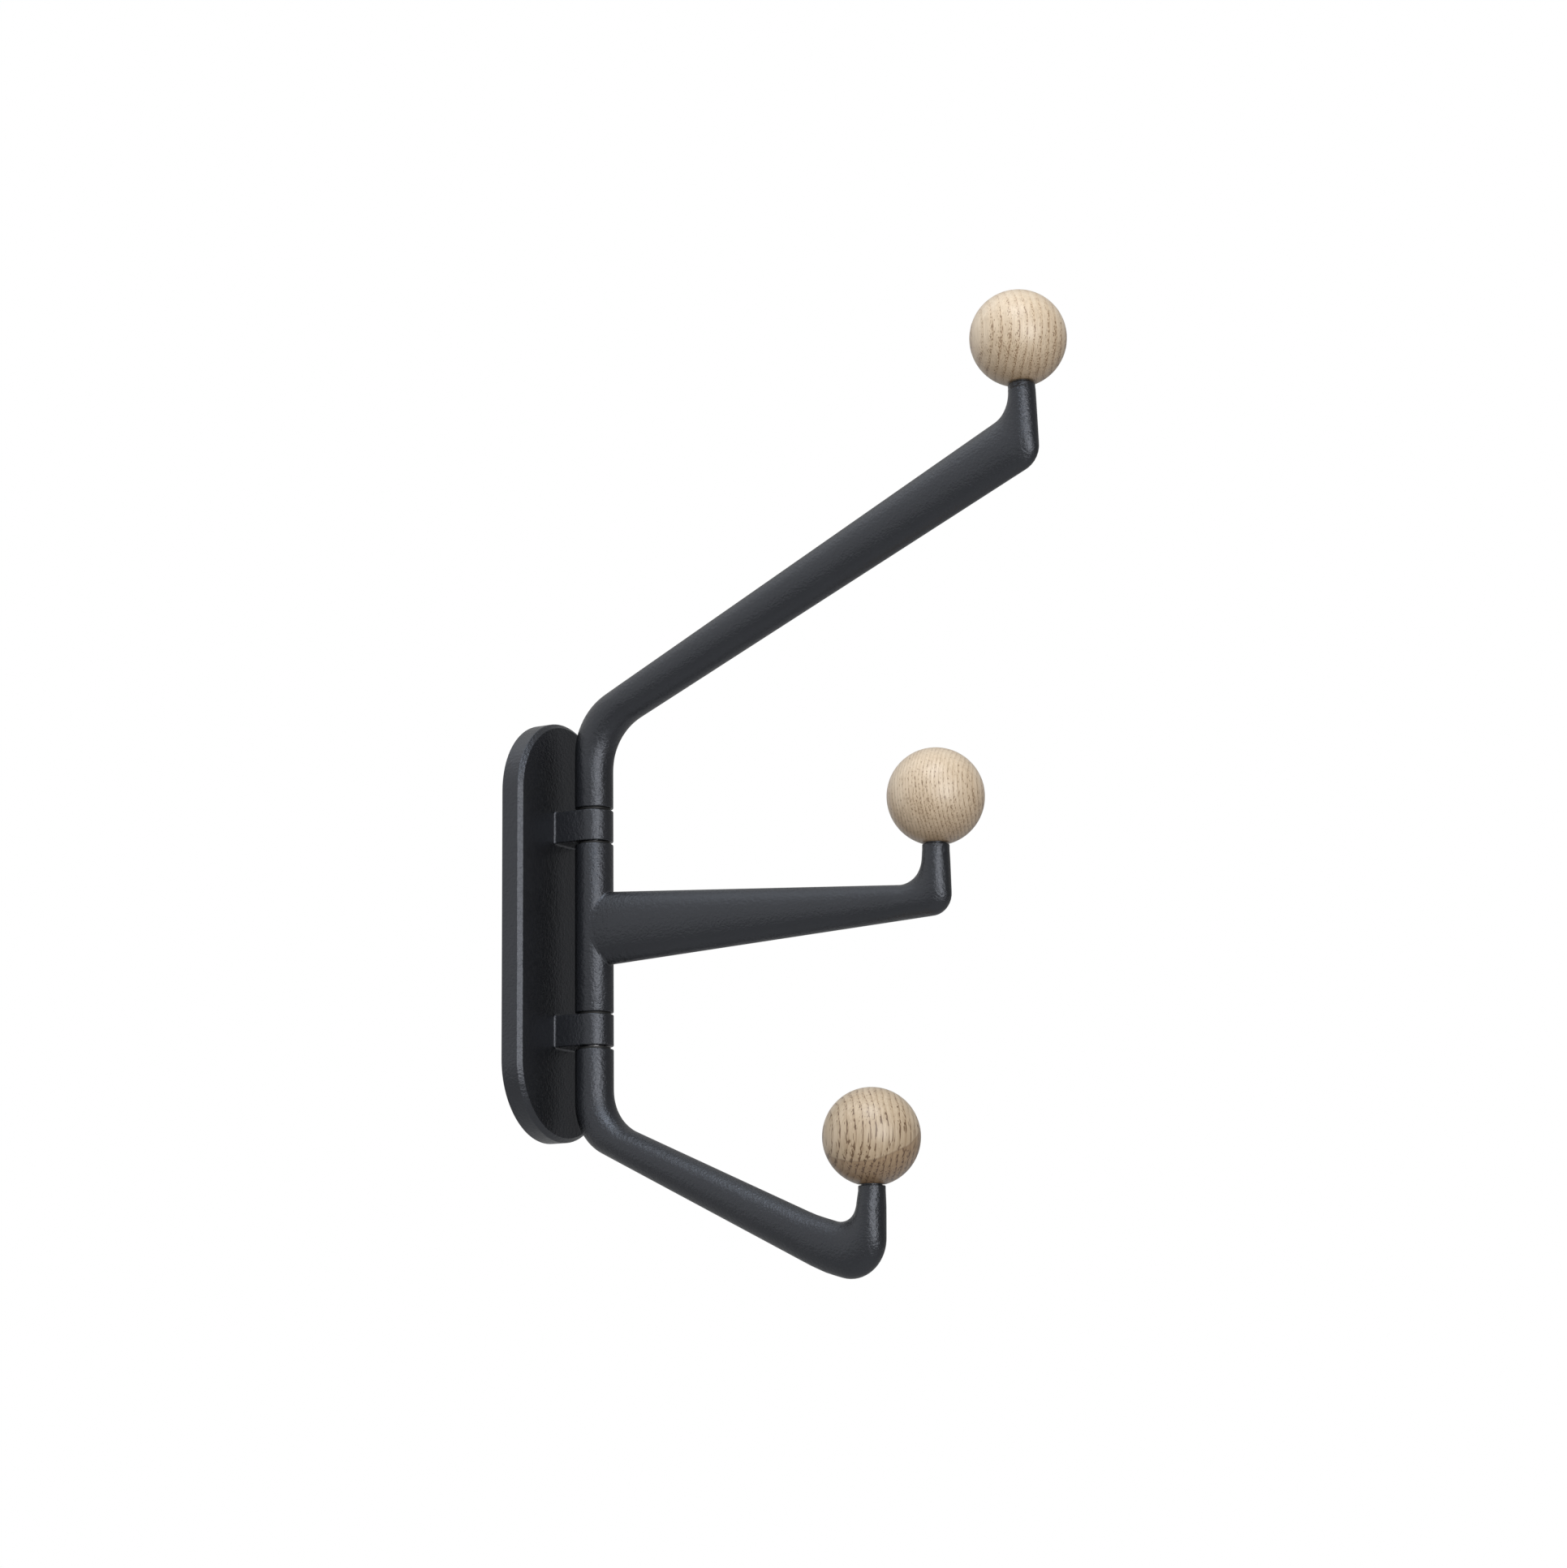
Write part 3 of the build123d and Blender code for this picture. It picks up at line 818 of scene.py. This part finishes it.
# The balls
def ball(name, wood):
    """A turned ball with a flat where it sits on its neck and a hole for the stud."""
    seat_depth = sqrt(ball_radius**2 - seat_radius**2)
    start = -72.9                  # degrees from the level, where the round leaves the flat
    profile = [(0.0, stud_hole_depth), (stud_hole_radius, stud_hole_depth), (stud_hole_radius, 0.0)]
    profile.append((seat_radius - beside_edge, 0.0))
    for step in range(ball_steps + 1):
        angle = radians(start + (90 - start) * step / ball_steps)
        profile.append((ball_radius * cos(angle), seat_depth + ball_radius * sin(angle)))
    rings = turned(neck_tops[name], neck_leans[name], profile)
    back = radians(neck_leans[name])
    middle = neck_tops[name] + Vector((-sin(back), cos(back))) * seat_depth
    place = Vector((0, -pivot_distance - middle.x, middle.y))
    made = mesh_object(f"{name}_ball_turned", [shell(rings)])
    dress(made, f"{name}_hook", f"{name}_ball", wood(place))


ball("upper", upper_oak)
ball("middle", middle_oak)
ball("lower", lower_oak)


# Camera, at the photograph's angle
camera_place = (-0.97257, -0.68024, -0.17716)
camera_turn = -58.75           # degrees about the vertical
camera_tilt = 10.78            # degrees up from level
camera_roll = -0.63
sight = bpy.data.cameras.new("camera")
sight.sensor_width = 36.0
sight.lens = 85.0
sight.clip_start = 0.05
camera = bpy.data.objects.new("camera", sight)
bpy.context.scene.collection.objects.link(camera)
turn = Matrix.Rotation(radians(camera_turn), 4, "Z")
tilt = Matrix.Rotation(radians(90 + camera_tilt), 4, "X")
roll = Matrix.Rotation(radians(camera_roll), 4, "Z")
camera.matrix_world = Matrix.Translation(camera_place) @ turn @ tilt @ roll
bpy.context.scene.camera = camera


# Lights
hook_middle = Vector((0.0, -0.08, 0.03))


def softbox(name, place, size, radiance, tint=(1.0, 1.0, 1.0)):
    """An oblong area light that faces the hook, with its brightness as radiance."""
    light = bpy.data.lights.new(name, "AREA")
    light.shape = "RECTANGLE"
    light.size = size[0]
    light.size_y = size[1]
    light.energy = radiance * pi * size[0] * size[1]
    light.color = tint
    lamp = bpy.data.objects.new(name, light)
    lamp.location = place
    lamp.rotation_euler = (hook_middle - Vector(place)).to_track_quat("-Z", "Y").to_euler()
    bpy.context.scene.collection.objects.link(lamp)


cool = (0.84, 0.92, 1.0)
less_cool = (0.88, 0.94, 1.0)
softbox("top_light", place=(-0.30, 0.20, 1.3), size=(1.6, 1.4), radiance=0.5, tint=less_cool)
softbox("key_light", place=(-0.76, -0.55, 1.1), size=(0.8, 0.8), radiance=3.4, tint=cool)
softbox("front_light", place=(-1.02, -1.42, 0.15), size=(1.75, 1.1), radiance=2.0)
softbox("strip_light", place=(-0.80, -1.24, 0.15), size=(0.35, 1.0), radiance=2.2)


# World
def studio_world():
    """Plain white for the camera, and a bright and a dark side for the light.

    Reflections see that white fall off from the back left towards a darker room in front on the
    right, and the light on matt surfaces falls off the same way.
    """
    world = bpy.data.worlds.new("world")
    bpy.context.scene.world = world
    world.use_nodes = True
    tree = world.node_tree
    white = (1, 1, 1, 1)
    bright_side = Vector((-0.70, 0.60, 0.39)).normalized()
    direction = tree.nodes.new("ShaderNodeTexCoord").outputs["Generated"]
    towards = vector_calculated(tree, "DOT_PRODUCT", direction, bright_side)
    share = spread(tree, towards, low=0.0, high=1.0, start=-1.0)
    fall = calculated(tree, "POWER", share, 1.5)
    reflected = spread(tree, fall, low=0.22, high=0.80)
    matt = spread(tree, fall, low=0.44, high=1.10)
    paths = tree.nodes.new("ShaderNodeLightPath").outputs
    seen_strength = calculated(tree, "MAXIMUM", paths["Is Camera Ray"], reflected)
    is_seen = calculated(tree, "MAXIMUM", paths["Is Camera Ray"], paths["Is Glossy Ray"])
    is_seen = calculated(tree, "MAXIMUM", is_seen, paths["Is Transmission Ray"])
    seen = node(tree, "ShaderNodeBackground", in_Color=white, in_Strength=seen_strength)
    studio = node(tree, "ShaderNodeBackground", in_Color=white, in_Strength=matt)
    choice = node(tree, "ShaderNodeMixShader", in_Fac=is_seen)
    feed(tree, studio.outputs["Background"], choice.inputs[1])
    feed(tree, seen.outputs["Background"], choice.inputs[2])
    feed(tree, choice.outputs["Shader"], tree.nodes["World Output"].inputs["Surface"])


studio_world()


# Floor, well below the object
def pale_floor():
    """Pale for the camera, mid grey in reflections, and darker and warm for matt surfaces."""
    material, tree, shader = new_material("floor")
    paths = tree.nodes.new("ShaderNodeLightPath").outputs
    view = calculated(tree, "MULTIPLY_ADD", paths["Is Glossy Ray"], 0.5, paths["Is Camera Ray"])
    stops = [(0.0, (0.15, 0.10, 0.05)), (0.5, (0.50, 0.50, 0.50)), (1.0, (0.85, 0.85, 0.85))]
    feed(tree, ramp(tree, view, stops), shader.inputs["Base Color"])
    shader.inputs["Roughness"].default_value = 0.9
    return material


floor_level = -1.2
floor_reach = 6.0
floor_corners = [
    (across * floor_reach, along * floor_reach, floor_level)
    for across, along in ((-1, -1), (1, -1), (1, 1), (-1, 1))
]
floor_mesh = bpy.data.meshes.new("floor")
floor_mesh.from_pydata(floor_corners, [], [(0, 1, 2, 3)])
floor_mesh.materials.append(pale_floor())
floor = bpy.data.objects.new("floor", floor_mesh)
bpy.context.scene.collection.objects.link(floor)

bpy.context.scene.view_settings.view_transform = "Standard"
